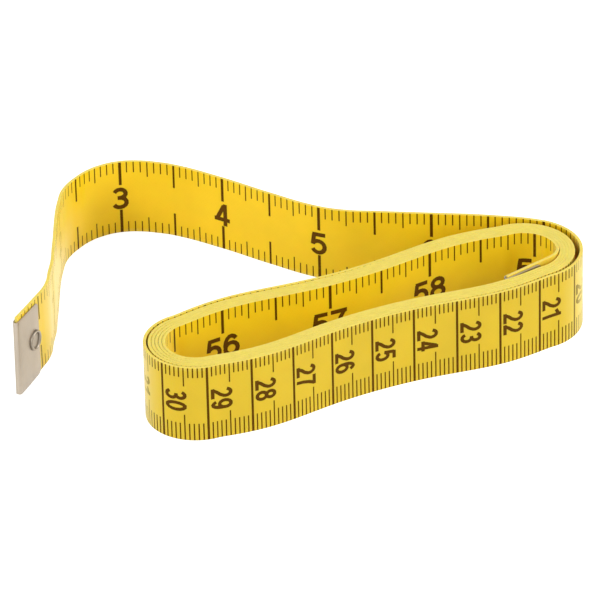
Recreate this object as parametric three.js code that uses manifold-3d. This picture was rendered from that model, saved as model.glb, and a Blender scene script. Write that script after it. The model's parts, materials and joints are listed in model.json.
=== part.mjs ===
// A cloth tape measure standing on its edge: wound into a long waisted loop, with its tail let out behind.
// Millimetres, +Z up. X runs along the wound loop, and the tail curls round behind it to the left.
import * as THREE from 'three';
import { mergeVertices } from 'three/addons/utils/BufferGeometryUtils.js';
import Module from 'manifold-3d';

// The tape
const TAPE_WIDTH = 18.5;
const TAPE_THICKNESS = 0.38;

// The wound loop: two round ends, joined by sides that swell and then draw in at the waist.
// The end radii are those of the outer turn's middle line.
const TURNS = 6;
const TURN_GAP = 0.44;
const LOOP_CENTRE_X = 9.1;
const LOOP_CENTRE_Y = -31.91;
const END_SPACING = 77.95;
const LEFT_END_RADIUS = 12.2;
const RIGHT_END_RADIUS = 12.8;
const SIDE_SWELL = 1.07;
const SIDE_WAIST = 1.77;

// Where the tail leaves: the outer turn stands off the right end there, all round and further to the right,
// and settles on the loop along the front
const SEAM_ANGLE = 45;
const SEAM_GAP = 0.4;
const TAIL_LIFT = 0.5;
const TAIL_REACH = 1.2;
const SETTLING_TURNS = 0.4;

// The tail's middle line, from its tip to the seam, as distances from the seam
const TAIL_ROUTE = [
  [-119.9, 16.75], [-116.5, 19.5], [-112.1, 23.2], [-110.0, 25.0], [-108.0, 27.3], [-105.7, 31.2],
  [-103.3, 35.1], [-101.4, 38.9], [-99.4, 42.8], [-95.6, 50.5], [-93.6, 54.3], [-91.5, 57.8],
  [-89.4, 60.9], [-87.0, 63.2], [-84.4, 64.9], [-80.6, 66.7], [-76.8, 67.4], [-72.9, 67.1],
  [-68.6, 65.3], [-64.9, 62.5], [-62.4, 60.1], [-55.1, 49.8], [-48.6, 39.0], [-41.4, 28.3],
  [-36.5, 23.8], [-31.2, 20.5], [-20.2, 13.8], [-9.5, 7.1],
];

// The inner end: its last bend is tighter than the turn before it, and it ends straight
const INNER_TUCK = 2.3;
const INNER_SLOPE = 9;
const INNER_STRAIGHT = 11.2;

// The folded metal clip and the rivet at each end
const CLIP_LENGTH = 9;
const CLIP_SHEET = 0.3;
const CLIP_FIT = 0.1;
const CLIP_TOP_MARGIN = 0.9;
const CLIP_BOTTOM_MARGIN = 0.05;
const CLIP_CORNER = 1.1;
const RIVET_HEAD_DIAMETER = 5.2;
const RIVET_HEAD_HEIGHT = 0.5;
const RIVET_DISH_DIAMETER = 3.8;
const RIVET_DISH_DEPTH = 0.4;
const RIVET_SHANK_DIAMETER = 2.8;
const RIVET_HOLE_FIT = 0.15;
const RIVET_SEAT_FIT = 0.05;
const RIVET_SETBACK = 2.7;

// Facets
const END_STEPS = 16;
const SIDE_STEPS = 20;
const INNER_BEND_STEPS = 10;
const ROUTE_STEPS = 3;
const FOLD_STEPS = 6;
const CORNER_STEPS = 4;
const ROUND_STEPS = 24;

const TURN_PITCH = TAPE_THICKNESS + TURN_GAP;
const TURN_STEPS = 2 * (END_STEPS + SIDE_STEPS);
const LEFT_END = new THREE.Vector2(LOOP_CENTRE_X - END_SPACING / 2, LOOP_CENTRE_Y);
const RIGHT_END = new THREE.Vector2(LOOP_CENTRE_X + END_SPACING / 2, LOOP_CENTRE_Y);
const CLIP_OFFSET = TAPE_THICKNESS / 2 + CLIP_FIT + CLIP_SHEET / 2;
const CLIP_FACE = CLIP_OFFSET + CLIP_SHEET / 2;

const wasm = await Module();
wasm.setup();

function polar(centre, radius, degrees) {
  const angle = THREE.MathUtils.degToRad(degrees);
  return new THREE.Vector2(centre.x + radius * Math.cos(angle), centre.y + radius * Math.sin(angle));
}

// How much of the outer turn's stand-off is left after so many turns
function standOff(turns) {
  return Math.max(0, 1 - turns / SETTLING_TURNS) ** 2;
}

// How far the outer turn's middle line is drawn in after so many turns
function drawnIn(turns) {
  return TURN_PITCH * turns - TAIL_LIFT * standOff(turns);
}

// Half the loop's width along a side, before the turns draw it in, from 0 at the left end to 1 at the right
function halfWidth(along) {
  const round = 2 * Math.PI * along;
  const swell = SIDE_SWELL * Math.sin(round) ** 2;
  const waist = SIDE_WAIST * (1 - Math.cos(round)) / 2;
  return THREE.MathUtils.lerp(LEFT_END_RADIUS, RIGHT_END_RADIUS, along) + swell - waist;
}

// The winding runs round the right end, along the front, round the left end and back along the rear
function windingPoint(step) {
  const inset = drawnIn(step / TURN_STEPS);
  let rest = step % TURN_STEPS;
  if (rest <= END_STEPS) {
    const point = polar(RIGHT_END, RIGHT_END_RADIUS - inset, 90 - 180 * rest / END_STEPS);
    point.x += TAIL_REACH * Math.sqrt(standOff(step / TURN_STEPS));
    return point;
  }
  rest -= END_STEPS;
  if (rest <= SIDE_STEPS) {
    const along = 1 - rest / SIDE_STEPS;
    return new THREE.Vector2(LEFT_END.x + END_SPACING * along, LOOP_CENTRE_Y - halfWidth(along) + inset);
  }
  rest -= SIDE_STEPS;
  if (rest <= END_STEPS) return polar(LEFT_END, LEFT_END_RADIUS - inset, -90 - 180 * rest / END_STEPS);
  const along = (rest - END_STEPS) / SIDE_STEPS;
  return new THREE.Vector2(LEFT_END.x + END_SPACING * along, LOOP_CENTRE_Y + halfWidth(along) - inset);
}

function windingPath() {
  const first = END_STEPS * (90 - SEAM_ANGLE) / 180;
  const last = TURNS * TURN_STEPS + END_STEPS / 2;
  const path = [];
  for (let step = first; step <= last; step += 1) path.push(windingPoint(step));
  const turnRadius = RIGHT_END_RADIUS - drawnIn(last / TURN_STEPS);
  const bendRadius = turnRadius - INNER_TUCK;
  const bendCentre = new THREE.Vector2(RIGHT_END.x + INNER_TUCK, RIGHT_END.y);
  for (let step = 1; step <= INNER_BEND_STEPS; step += 1) {
    path.push(polar(bendCentre, bendRadius, -(90 - INNER_SLOPE) * step / INNER_BEND_STEPS));
  }
  path.push(polar(path.at(-1), INNER_STRAIGHT, 180 + INNER_SLOPE));
  return path;
}

// The tail's spline runs on into the winding, so that the two meet in line, and is cut at the seam
function tailPath(winding) {
  const seam = winding[0];
  const knots = TAIL_ROUTE.map(([x, y]) => new THREE.Vector3(seam.x + x, seam.y + y, 0));
  for (const point of winding.slice(0, 2)) knots.push(new THREE.Vector3(point.x, point.y, 0));
  const spline = new THREE.CatmullRomCurve3(knots);
  const spans = knots.length - 2;
  const path = [];
  for (let step = 0; step <= spans * ROUTE_STEPS; step += 1) {
    const point = spline.getPoint(step / ROUTE_STEPS / (spans + 1));
    path.push(new THREE.Vector2(point.x, point.y));
  }
  return path;
}

function pathLength(path) {
  let length = 0;
  for (let i = 1; i < path.length; i += 1) length += path[i].distanceTo(path[i - 1]);
  return length;
}

// The first stretch of a path, up to a length
function firstStretch(path, length) {
  const stretch = [path[0].clone()];
  let left = length;
  for (let i = 1; i < path.length; i += 1) {
    const run = path[i].distanceTo(path[i - 1]);
    if (run >= left) {
      stretch.push(path[i - 1].clone().lerp(path[i], left / run));
      return stretch;
    }
    stretch.push(path[i].clone());
    left -= run;
  }
  return stretch;
}

// The direction at a point of a path, and the sideways step that keeps a strip's thickness round its bends
function sidewaysAt(path, i) {
  const before = path[Math.max(i - 1, 0)];
  const after = path[Math.min(i + 1, path.length - 1)];
  const into = path[i].clone().sub(before).normalize();
  const out = after.clone().sub(path[i]).normalize();
  const along = into.add(out).normalize();
  const straight = (i > 0 && i < path.length - 1) ? out.dot(along) : 1;
  return new THREE.Vector2(-along.y, along.x).divideScalar(straight);
}

function offsetPath(path, distance) {
  return path.map((point, i) => point.clone().addScaledVector(sidewaysAt(path, i), distance));
}

// A strip standing on edge along a path, as one closed body
function stripGeometry(path, thickness, bottom, top) {
  const left = offsetPath(path, thickness / 2);
  const right = offsetPath(path, -thickness / 2);
  const positions = [];
  for (let i = 0; i < path.length; i += 1) {
    positions.push(left[i].x, left[i].y, bottom, left[i].x, left[i].y, top);
    positions.push(right[i].x, right[i].y, top, right[i].x, right[i].y, bottom);
  }
  const index = [0, 2, 1, 0, 3, 2];
  for (let i = 0; i < path.length - 1; i += 1) {
    for (let side = 0; side < 4; side += 1) {
      const a = 4 * i + side;
      const b = 4 * i + (side + 1) % 4;
      index.push(a, b, a + 4, b, b + 4, a + 4);
    }
  }
  const end = 4 * (path.length - 1);
  index.push(end, end + 1, end + 2, end, end + 2, end + 3);
  const geometry = new THREE.BufferGeometry();
  geometry.setAttribute('position', new THREE.Float32BufferAttribute(positions, 3));
  geometry.setIndex(index);
  return geometry;
}

function toSolid(geometry) {
  const bare = geometry.clone();
  bare.deleteAttribute('normal');
  bare.deleteAttribute('uv');
  const merged = mergeVertices(bare);
  const vertProperties = new Float32Array(merged.attributes.position.array);
  const triVerts = new Uint32Array(merged.index.array);
  return new wasm.Manifold(new wasm.Mesh({ numProp: 3, vertProperties, triVerts }));
}

function fromSolid(solid) {
  const mesh = solid.getMesh();
  const result = new THREE.BufferGeometry();
  result.setAttribute('position', new THREE.Float32BufferAttribute(mesh.vertProperties, 3));
  result.setIndex(Array.from(mesh.triVerts));
  return result;
}

function cutFrom(geometry, tool) {
  return fromSolid(toSolid(geometry).subtract(toSolid(tool)));
}

function keepWithin(geometry, tool) {
  return fromSolid(toSolid(geometry).intersect(toSolid(tool)));
}

// The rivet's place on an end of the tape, with its axis across the tape's faces
function rivetPlace(endStretch) {
  const run = firstStretch(endStretch, CLIP_LENGTH - RIVET_SETBACK);
  const point = run.at(-1);
  const across = sidewaysAt(run, run.length - 1);
  const turn = new THREE.Quaternion().setFromUnitVectors(
    new THREE.Vector3(0, 1, 0), new THREE.Vector3(across.x, across.y, 0));
  return new THREE.Matrix4().compose(
    new THREE.Vector3(point.x, point.y, TAPE_WIDTH / 2), turn, new THREE.Vector3(1, 1, 1));
}

function rivetHole(place) {
  const radius = RIVET_SHANK_DIAMETER / 2 + RIVET_HOLE_FIT;
  const length = 4 * CLIP_FACE;
  return new THREE.CylinderGeometry(radius, radius, length, ROUND_STEPS).applyMatrix4(place);
}

// A block with the clip's outline, seen square to the tape's faces: its inner corners are round
function clipOutline(place) {
  const inner = RIVET_SETBACK;
  const outer = RIVET_SETBACK - CLIP_LENGTH - 2 * CLIP_FACE;
  const bottom = CLIP_BOTTOM_MARGIN - TAPE_WIDTH / 2;
  const top = TAPE_WIDTH / 2 - CLIP_TOP_MARGIN;
  const outline = new THREE.Shape();
  outline.moveTo(outer, bottom);
  outline.lineTo(inner - CLIP_CORNER, bottom);
  outline.absarc(inner - CLIP_CORNER, bottom + CLIP_CORNER, CLIP_CORNER, -Math.PI / 2, 0);
  outline.absarc(inner - CLIP_CORNER, top - CLIP_CORNER, CLIP_CORNER, 0, Math.PI / 2);
  outline.lineTo(outer, top);
  const depth = 4 * CLIP_FACE;
  return new THREE.ExtrudeGeometry(outline, { depth, bevelEnabled: false, curveSegments: CORNER_STEPS })
    .translate(0, 0, -depth / 2)
    .rotateX(Math.PI / 2)
    .applyMatrix4(place);
}

// Sheet metal folded over the tape's end, then trimmed to the clip's outline and drilled for the rivet
function clipGeometry(endStretch, place) {
  const leg = firstStretch(endStretch, CLIP_LENGTH + CLIP_CORNER);
  const one = offsetPath(leg, CLIP_OFFSET);
  const other = offsetPath(leg, -CLIP_OFFSET);
  const tip = leg[0];
  const start = one[0].clone().sub(tip).angle();
  const fold = [];
  for (let step = 1; step < FOLD_STEPS; step += 1) {
    const degrees = THREE.MathUtils.radToDeg(start) + 180 * step / FOLD_STEPS;
    fold.push(polar(tip, CLIP_OFFSET, degrees));
  }
  const sheet = [...one.reverse(), ...fold, ...other];
  const strip = stripGeometry(sheet, CLIP_SHEET, 0, TAPE_WIDTH);
  return cutFrom(keepWithin(strip, clipOutline(place)), rivetHole(place));
}

function rivetGeometry(place) {
  const seat = CLIP_FACE + RIVET_SEAT_FIT;
  const top = seat + RIVET_HEAD_HEIGHT;
  const head = RIVET_HEAD_DIAMETER / 2;
  const dish = RIVET_DISH_DIAMETER / 2;
  const half = [
    [RIVET_SHANK_DIAMETER / 2, seat], [head, seat], [head, top - RIVET_HEAD_HEIGHT / 2],
    [(head + dish) / 2, top], [dish, top - RIVET_DISH_DEPTH], [0, top - RIVET_DISH_DEPTH],
  ];
  const upper = half.map(([r, y]) => new THREE.Vector2(r, y));
  const lower = half.map(([r, y]) => new THREE.Vector2(r, -y)).reverse();
  return new THREE.LatheGeometry([...lower, ...upper], ROUND_STEPS).applyMatrix4(place);
}

// The least clear distance between stretches of the winding that lie on different turns, measured on points
function leastTurnGap(path) {
  const left = offsetPath(path, TAPE_THICKNESS / 2);
  const right = offsetPath(path, -TAPE_THICKNESS / 2);
  const near = Math.floor(TURN_STEPS / 2);
  let least = Infinity;
  const side = new THREE.Line3();
  const closest = new THREE.Vector3();
  for (let i = 0; i < path.length; i += 1) {
    const point = new THREE.Vector3(right[i].x, right[i].y, 0);
    for (let j = i + near; j < path.length - 1; j += 1) {
      side.start.set(left[j].x, left[j].y, 0);
      side.end.set(left[j + 1].x, left[j + 1].y, 0);
      side.closestPointToPoint(point, true, closest);
      least = Math.min(least, closest.distanceTo(point));
    }
  }
  return least;
}

const yellow = new THREE.MeshStandardMaterial({ color: 0xe8bc2c, roughness: 0.5, metalness: 0 });
const steel = new THREE.MeshStandardMaterial({ color: 0xc8beb0, roughness: 0.35, metalness: 0.9 });

const model = new THREE.Group();
function addMesh(name, geometry, material) {
  const mesh = new THREE.Mesh(geometry, material.clone());
  mesh.name = name;
  model.add(mesh);
}

const winding = windingPath();
const tail = tailPath(winding);
const tapeLength = pathLength(tail) + pathLength(winding);
const tailFromTip = firstStretch(tail, pathLength(tail) - SEAM_GAP / 2);
const coilFromInnerEnd = firstStretch(winding.slice().reverse(), pathLength(winding) - SEAM_GAP / 2);

const ends = [
  { tape: 'tape_tail', clip: 'tail_end_clip', rivet: 'tail_end_rivet', path: tailFromTip },
  { tape: 'tape_coil', clip: 'inner_end_clip', rivet: 'inner_end_rivet', path: coilFromInnerEnd },
];
for (const { tape, clip, rivet, path } of ends) {
  const place = rivetPlace(path);
  const strip = stripGeometry(path, TAPE_THICKNESS, 0, TAPE_WIDTH);
  addMesh(tape, cutFrom(strip, rivetHole(place)), yellow);
  addMesh(clip, clipGeometry(path, place), steel);
  addMesh(rivet, rivetGeometry(place), steel);
}

console.log(`tape length ${tapeLength.toFixed(1)} mm, of which the tail is ${pathLength(tail).toFixed(1)} mm`);
console.log(`least gap between turns ${leastTurnGap(winding).toFixed(3)} mm`);

export default model;
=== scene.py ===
"""Dress a cloth tape measure wound into a loop: printed tape, end clips, rivets and a plain stage."""
import contextlib
import json
import math

import bmesh
import bpy
from mathutils import Matrix, Vector

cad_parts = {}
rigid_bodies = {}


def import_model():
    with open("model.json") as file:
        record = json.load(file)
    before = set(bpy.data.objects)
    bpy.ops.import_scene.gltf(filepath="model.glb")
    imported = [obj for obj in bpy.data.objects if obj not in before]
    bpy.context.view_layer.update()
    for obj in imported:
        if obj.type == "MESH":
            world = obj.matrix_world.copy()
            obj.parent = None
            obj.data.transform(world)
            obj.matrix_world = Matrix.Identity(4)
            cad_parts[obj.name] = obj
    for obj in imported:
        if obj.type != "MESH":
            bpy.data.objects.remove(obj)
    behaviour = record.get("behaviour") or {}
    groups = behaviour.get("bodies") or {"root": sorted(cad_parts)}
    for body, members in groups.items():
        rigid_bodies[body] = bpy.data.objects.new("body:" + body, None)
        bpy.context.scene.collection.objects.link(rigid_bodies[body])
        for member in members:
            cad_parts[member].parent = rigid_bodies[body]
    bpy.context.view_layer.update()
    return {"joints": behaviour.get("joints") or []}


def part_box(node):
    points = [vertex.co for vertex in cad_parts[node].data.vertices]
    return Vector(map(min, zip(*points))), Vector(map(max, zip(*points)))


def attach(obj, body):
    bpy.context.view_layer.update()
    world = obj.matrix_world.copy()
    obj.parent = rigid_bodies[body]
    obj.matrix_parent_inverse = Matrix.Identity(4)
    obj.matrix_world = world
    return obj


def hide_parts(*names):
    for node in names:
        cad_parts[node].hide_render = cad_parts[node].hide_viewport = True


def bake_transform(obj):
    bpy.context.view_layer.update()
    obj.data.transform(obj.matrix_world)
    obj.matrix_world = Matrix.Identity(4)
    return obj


bl_info = {
    "name": "Wound Tape Measure",
    "version": (1, 0, 0),
    "blender": (4, 5, 0),
    "location": "View3D > Sidebar > Tape Measure",
    "description": "Builds a printed cloth tape measure wound into a loop, with its end clips and rivets",
    "category": "Add Mesh",
}

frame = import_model()
TAIL_JOINT = frame["joints"][0]
COIL_LOW, COIL_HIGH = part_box("tape_coil")

MM = 0.001
INCH = 25.4 * MM
CM = 10.0 * MM

# The loop's middle line: two round ends, joined by sides that swell and draw in at the waist
LOOP_CENTRE = (8.905 * MM, -32.28 * MM)
END_SPACING = 79.53 * MM
LEFT_END_RADIUS = 11.3 * MM
RIGHT_END_RADIUS = 11.98 * MM
# How many half waves lie along a side, and how far each of them pushes it outwards
WAVE_COUNTS = (1, 3, 5)
FRONT_WAVES = (-0.29 * MM, 1.20 * MM, 0.24 * MM)
REAR_WAVES = (0.48 * MM, 1.18 * MM, 0.15 * MM)
END_STEPS = 16
SIDE_STEPS = 24
TURN_STEPS = 2 * (END_STEPS + SIDE_STEPS)

# Where the tail leaves, the outer turn stands off the loop
SEAM_ANGLE = 45.0
TAIL_LIFT = 1.2 * MM
TAIL_REACH = 0.9 * MM
SETTLING_TURNS = 0.4
# It stands off at the left end too: how far, how many turns in that starts, and how many it lasts
OUTER_GAP = 0.38 * MM
OUTER_GAP_START = 0.45
OUTER_GAP_TURNS = 0.5
# How much looser each turn lies behind the left end, and how much closer at the right end
LEFT_SLACK = 0.3 * MM
RIGHT_TIGHTNESS = 0.05 * MM

# The tail's middle line from its tip to the seam, in millimetres from the joint
TAIL_ROUTE = (
    (-119.9, 16.75), (-116.5, 19.5), (-112.1, 23.2), (-110.0, 25.0), (-108.0, 27.3), (-105.7, 31.2),
    (-103.3, 35.1), (-101.4, 38.9), (-99.4, 42.8), (-95.6, 50.5), (-93.6, 54.3), (-91.5, 57.8),
    (-89.4, 60.9), (-87.0, 63.2), (-84.4, 64.9), (-80.6, 66.7), (-76.8, 67.4), (-72.9, 67.1),
    (-68.6, 65.3), (-64.9, 62.5), (-62.4, 60.1), (-55.1, 49.8), (-48.6, 39.0), (-41.4, 28.3),
    (-36.5, 23.8), (-31.2, 20.5), (-20.2, 13.8), (-9.5, 7.1),
)

# The inner end has a tighter last bend and ends straight
INNER_TUCK = 1.4 * MM
INNER_SLOPE = 10.4
INNER_STRAIGHT = 10.9 * MM
INNER_BEND_STEPS = 10
# It stands above the turns: it rises between these distances from its tip, and droops from there to the tip
INNER_LIFT = 0.75 * MM
INNER_LIFT_START = 19.0 * MM
INNER_LIFT_END = 11.0 * MM
INNER_DROOP = 0.45 * MM
# Its clip sits this much higher on the tape than the tail's
INNER_CLIP_RISE = 0.65 * MM

# Steps between two points of the route, the length of one stretch of tape, and the rounding of its edges
ROUTE_RESOLUTION = 8
TAPE_STEP = 0.45 * MM
EDGE_ROUNDING = 0.05 * MM

# The tail's own piece of tape ends at this reading of the scale, between two marks of either face
TAIL_READING = 183.5 * MM

# The two printed faces, by the side of the flat tape that they are on
INCH_SIDE = -1.0
CM_SIDE = 1.0
LAST_INCH = 59
LAST_CM = 150
# How deep the ink sits in the tape, and how far it stays from the tape's edges and ends
INK_SINK = 0.06 * MM
EDGE_MARGIN = 0.06 * MM
END_MARGIN = 0.2 * MM
# Marks in this strip along the upper edge run on under the clips, and all others at most this far
UPPER_STRIP = 6.1 * MM
CLIP_OVERLAP = 0.25 * MM

# Length and width of the inch face's marks
INCH_MARK = (6.0 * MM, 0.68 * MM)
HALF_INCH_MARK = (5.9 * MM, 0.50 * MM)
QUARTER_INCH_MARK = (3.9 * MM, 0.28 * MM)
SIXTEENTH_MARK = (2.8 * MM, 0.26 * MM)

# Width of the cm face's lines, and length and width of its marks along the upper and the lower edge
CM_LINE_WIDTH = 0.52 * MM
UPPER_FIVE_MARK = (4.75 * MM, 0.28 * MM)
UPPER_MM_MARK = (2.5 * MM, 0.28 * MM)
LOWER_FIVE_MARK = (6.5 * MM, 0.28 * MM)
LOWER_MM_MARK = (4.3 * MM, 0.28 * MM)

# A digit's width and stroke, and the pitch of two digits, as shares of their height
INCH_DIGIT = (0.71, 0.178, 0.78)
CM_DIGIT = (0.52, 0.162, 0.585)
# The inch numbers sit this much to the left of their marks, and below the middle
INCH_DIGIT_SHIFT = (0.2 * MM, 0.25 * MM)
# The cm numbers sit this much beside their lines, and above the middle
CM_DIGIT_SHIFT = (0.7 * MM, 0.7 * MM)
# Points round a whole bowl, degrees between two points of an open one, and the slices that let a digit bend
RING_POINTS = 14
ARC_STEP = 24.0
DIGIT_SLICE = 0.6 * MM

# Painted sheen, which pales the colour of the faces and the ink at a low angle: where that starts, where it
# is full, and how far it goes
INCH_SHEEN = (0.45, 0.8, 0.7)
CM_SHEEN = (0.3, 0.75, 0.6)
INK_SHEEN = (0.5, 0.85, 0.85)

# Steps of a clip's fold, where bands of it start, and how far each is drawn in at both ends
FOLD_STEPS = 10
FOLD_BANDS = (0.3, 0.7, 0.9)
FOLD_ROUNDING = 0.05 * MM
# Steps of its corners, the rounding of its sheet's sharp edges, and the slices that let it bend
CORNER_STEPS = 5
SHEET_ROUNDING = 0.05 * MM
SHARP_ANGLE = 40.0
CLIP_SLICE = 1.2 * MM
# The tail's clip is folded on slant: how much further out its lower corners are, at the fold and inside
FOLD_SLANT = 1.6 * MM
INNER_EDGE_SLANT = 0.75 * MM
# The tail leans back towards its tip: how far its upper and lower edges are off there, over what length
LEAN_ABOVE = 0.2 * MM
LEAN_BELOW = 0.6 * MM
LEAN_REACH = 18.0 * MM

# A rivet's sides, the depth of the hole that is drilled for it, and how far its heads lie off the clip
RIVET_STEPS = 48
DRILL_DEPTH = 4.0 * MM
HEAD_CLEARANCE = 0.01 * MM
# Rings of a rivet's head and of the hollow in it: share of the radius, share of the height, and painted
# shade
HEAD_RINGS = ((1.0, 0.0, 1.0), (0.99, 0.75, 0.8), (0.95, 0.94, 0.0), (0.90, 1.0, 0.0), (0.85, 0.95, 0.0))
DISH_RINGS = ((1.06, 0.8, 0.3), (1.0, 0.12, 1.0), (0.88, 0.04, 0.5), (0.55, 0.10, 0.0))

# Points this close merge, points this close to a place are there, and faces this square face an axis
MERGED = 0.001 * MM
NEAR = 0.1 * MM
FACING = 0.9
# Edges up to this angle are shaded smoothly
SMOOTH_ANGLE = 30.0
RIVET_SMOOTH_ANGLE = 50.0

# The camera, fitted to the photograph's perspective
CAMERA_TARGET = (8.868 * MM, -1.119 * MM, 0.0)
CAMERA_DISTANCE = 1411.6 * MM
CAMERA_HEADING = 25.2
CAMERA_ELEVATION = 31.867
CAMERA_ROLL = -1.371
CAMERA_LENS = 379.06
CAMERA_SENSOR = 36.0
CAMERA_REACH = 20.0
WHITE = (1.0, 1.0, 1.0, 1.0)
FLOOR_SIZE = 6.0
FLOOR_DROP = 0.1 * MM
# How bright the camera sees the floor in full shadow
FLOOR_GLOW = 0.8
# Where the lamps stand, how large they are, and what they are aimed at
KEY_PLACE = (-1.032, -0.596, 0.634)
KEY_SIZE = 0.9
FILL_PLACE = (1.032, -0.596, 0.634)
FILL_SIZE = 0.8
LAMP_TARGET = (0.0, 0.0, 0.01)


def length_setting(name, description, default, precision=5):
    """A length that a user may change."""
    return bpy.props.FloatProperty(
        name=name, description=description, default=default, unit="LENGTH", precision=precision)


def colour_setting(name, description, default):
    """A colour that a user may change."""
    return bpy.props.FloatVectorProperty(
        name=name, description=description, default=default, subtype="COLOR", min=0.0, max=1.0)


class TapeSettings(bpy.types.PropertyGroup):
    """Sizes and colours of the tape itself"""

    width: length_setting("Width", "Width of the tape", COIL_HIGH.z - COIL_LOW.z)
    thickness: length_setting("Thickness", "Thickness of the coated cloth", 0.68 * MM)
    turns: bpy.props.IntProperty(
        name="Turns", description="Full turns of tape in the loop", default=6, min=1)
    turn_pitch: length_setting("Turn Pitch", "How far each turn lies inside the one before", 0.72 * MM)
    inch_face: colour_setting("Inch Face", "Colour of the face with the inch scale", (0.90, 0.62, 0.013))
    cm_face: colour_setting(
        "Centimetre Face", "Colour of the face with the centimetre scale", (0.73, 0.51, 0.027))
    cut_edge: colour_setting("Cut Edge", "Colour of the cut cloth along both edges", (0.79, 0.62, 0.118))


class ScaleSettings(bpy.types.PropertyGroup):
    """Sizes and colour of the two printed scales"""

    tip_reading: length_setting(
        "Reading at the Tip", "What the scales would read at the very end of the tape", 2.9 * MM)
    inch_digits: length_setting("Inch Digits", "Height of the inch scale's digits", 5.7 * MM)
    cm_digits: length_setting("Centimetre Digits", "Height of the centimetre scale's digits", 4.9 * MM)
    ink_proud: length_setting("Ink Thickness", "How far the ink stands on the tape", 0.012 * MM, 6)
    ink: colour_setting("Ink", "Colour of the ink", (0.105, 0.044, 0.001))


class ClipSettings(bpy.types.PropertyGroup):
    """Sizes and colour of the folded end clips and their rivets"""

    length: length_setting("Length", "How far a clip reaches along the tape", 8.95 * MM)
    sheet: length_setting("Sheet", "Thickness of the sheet metal", 0.3 * MM)
    fit: length_setting("Fit", "Room between the tape and a clip", 0.05 * MM)
    top_margin: length_setting(
        "Top Margin", "How far a clip stops short of the tape's upper edge", 0.9 * MM)
    bottom_margin: length_setting(
        "Bottom Margin", "How far a clip stops short of the tape's lower edge", 0.05 * MM)
    corner: length_setting("Corner", "Radius of a clip's corners", 1.1 * MM)
    setback: length_setting("Rivet Setback", "From a clip's inner edge to its rivet", 2.55 * MM)
    head: length_setting("Rivet Head", "Diameter of a rivet's head", 4.7 * MM)
    head_height: length_setting("Head Height", "How far a rivet's head stands on the clip", 0.5 * MM)
    dish: length_setting("Rivet Dish", "Diameter of the hollow in a rivet's head", 3.5 * MM)
    shank: length_setting("Rivet Shank", "Diameter of a rivet's shank", 2.8 * MM)
    metal: colour_setting("Metal", "Colour of the plated metal", (0.43, 0.37, 0.295))


class StageSettings(bpy.types.PropertyGroup):
    """The floor and the light"""

    floor: colour_setting("Floor", "Colour of the floor where it only gives light", (0.6, 0.6, 0.6))
    sky: bpy.props.FloatProperty(
        name="Surrounding Light", description="Strength of the even light from all round", default=0.65)
    key: bpy.props.FloatProperty(
        name="Key Light", description="Power of the lamp above the front left", default=9.8, unit="POWER")
    fill: bpy.props.FloatProperty(
        name="Fill Light", description="Power of the lamp above the front right", default=11.4, unit="POWER")


def make_active(obj):
    """Select one object alone and make it active."""
    bpy.ops.object.select_all(action="DESELECT")
    obj.select_set(True)
    bpy.context.view_layer.objects.active = obj


def apply_modifier(obj, kind, **settings):
    """Add a modifier to an object and apply it."""
    make_active(obj)
    modifier = obj.modifiers.new(kind.lower(), kind)
    for name, value in settings.items():
        setattr(modifier, name, value)
    bpy.ops.object.modifier_apply(modifier=modifier.name)


@contextlib.contextmanager
def editing(obj):
    """Work on one object's mesh in edit mode."""
    make_active(obj)
    bpy.ops.object.mode_set(mode="EDIT")
    yield
    bpy.ops.object.mode_set(mode="OBJECT")


def pick(obj, part, test):
    """In edit mode, select the vertices, edges or faces that pass a test."""
    bpy.ops.mesh.select_mode(type=part)
    bpy.ops.mesh.select_all(action="DESELECT")
    mesh = bmesh.from_edit_mesh(obj.data)
    for item in {"VERT": mesh.verts, "EDGE": mesh.edges, "FACE": mesh.faces}[part]:
        if test(item):
            item.select_set(True)
    mesh.select_flush_mode()
    bmesh.update_edit_mesh(obj.data)


def face_outwards():
    """In edit mode, turn all faces outwards."""
    bpy.ops.mesh.select_all(action="SELECT")
    bpy.ops.mesh.normals_make_consistent(inside=False)


def repeat_along(obj, count, step, **settings):
    """Repeat a piece along the flat tape."""
    apply_modifier(
        obj, "ARRAY", count=count, use_relative_offset=False, use_constant_offset=True,
        constant_offset_displace=(step, 0.0, 0.0), **settings)


def add_box(name, low, high):
    """Add a box between two corners."""
    bpy.ops.object.select_all(action="DESELECT")
    low, high = Vector(low), Vector(high)
    bpy.ops.mesh.primitive_cube_add(size=1.0, location=(low + high) / 2)
    box = bpy.context.active_object
    box.name = name
    box.scale = high - low
    bpy.ops.object.transform_apply(location=True, rotation=True, scale=True)
    return box


def join(name, objects):
    """Join objects into the first one."""
    make_active(objects[0])
    for obj in objects[1:]:
        obj.select_set(True)
    if len(objects) > 1:
        bpy.ops.object.join()
    objects[0].name = name
    objects[0].data.name = name
    return objects[0]


def remove(obj):
    """Delete an object with its data."""
    data = obj.data
    bpy.data.objects.remove(obj)
    if isinstance(data, bpy.types.Mesh):
        bpy.data.meshes.remove(data)
    else:
        bpy.data.curves.remove(data)


def smooth(obj, degrees=SMOOTH_ANGLE):
    """Shade an object smoothly, apart from its sharp edges."""
    make_active(obj)
    bpy.ops.object.shade_smooth_by_angle(angle=math.radians(degrees))


def polar(centre, radius, degrees):
    """A point at a distance and angle from a centre."""
    angle = math.radians(degrees)
    return (centre[0] + radius * math.cos(angle), centre[1] + radius * math.sin(angle))


def stand_off(turns):
    """How much of the outer turn's stand-off is left after so many turns."""
    return max(0.0, 1.0 - turns / SETTLING_TURNS) ** 2


def drawn_in(turns):
    """How far the middle line is drawn in after so many turns."""
    at_left = min(1.0, max(0.0, (turns - OUTER_GAP_START) / OUTER_GAP_TURNS))
    gap = OUTER_GAP * math.sin(math.pi * at_left) ** 2
    return bpy.context.scene.tape.turn_pitch * turns - TAIL_LIFT * stand_off(turns) - gap


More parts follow.
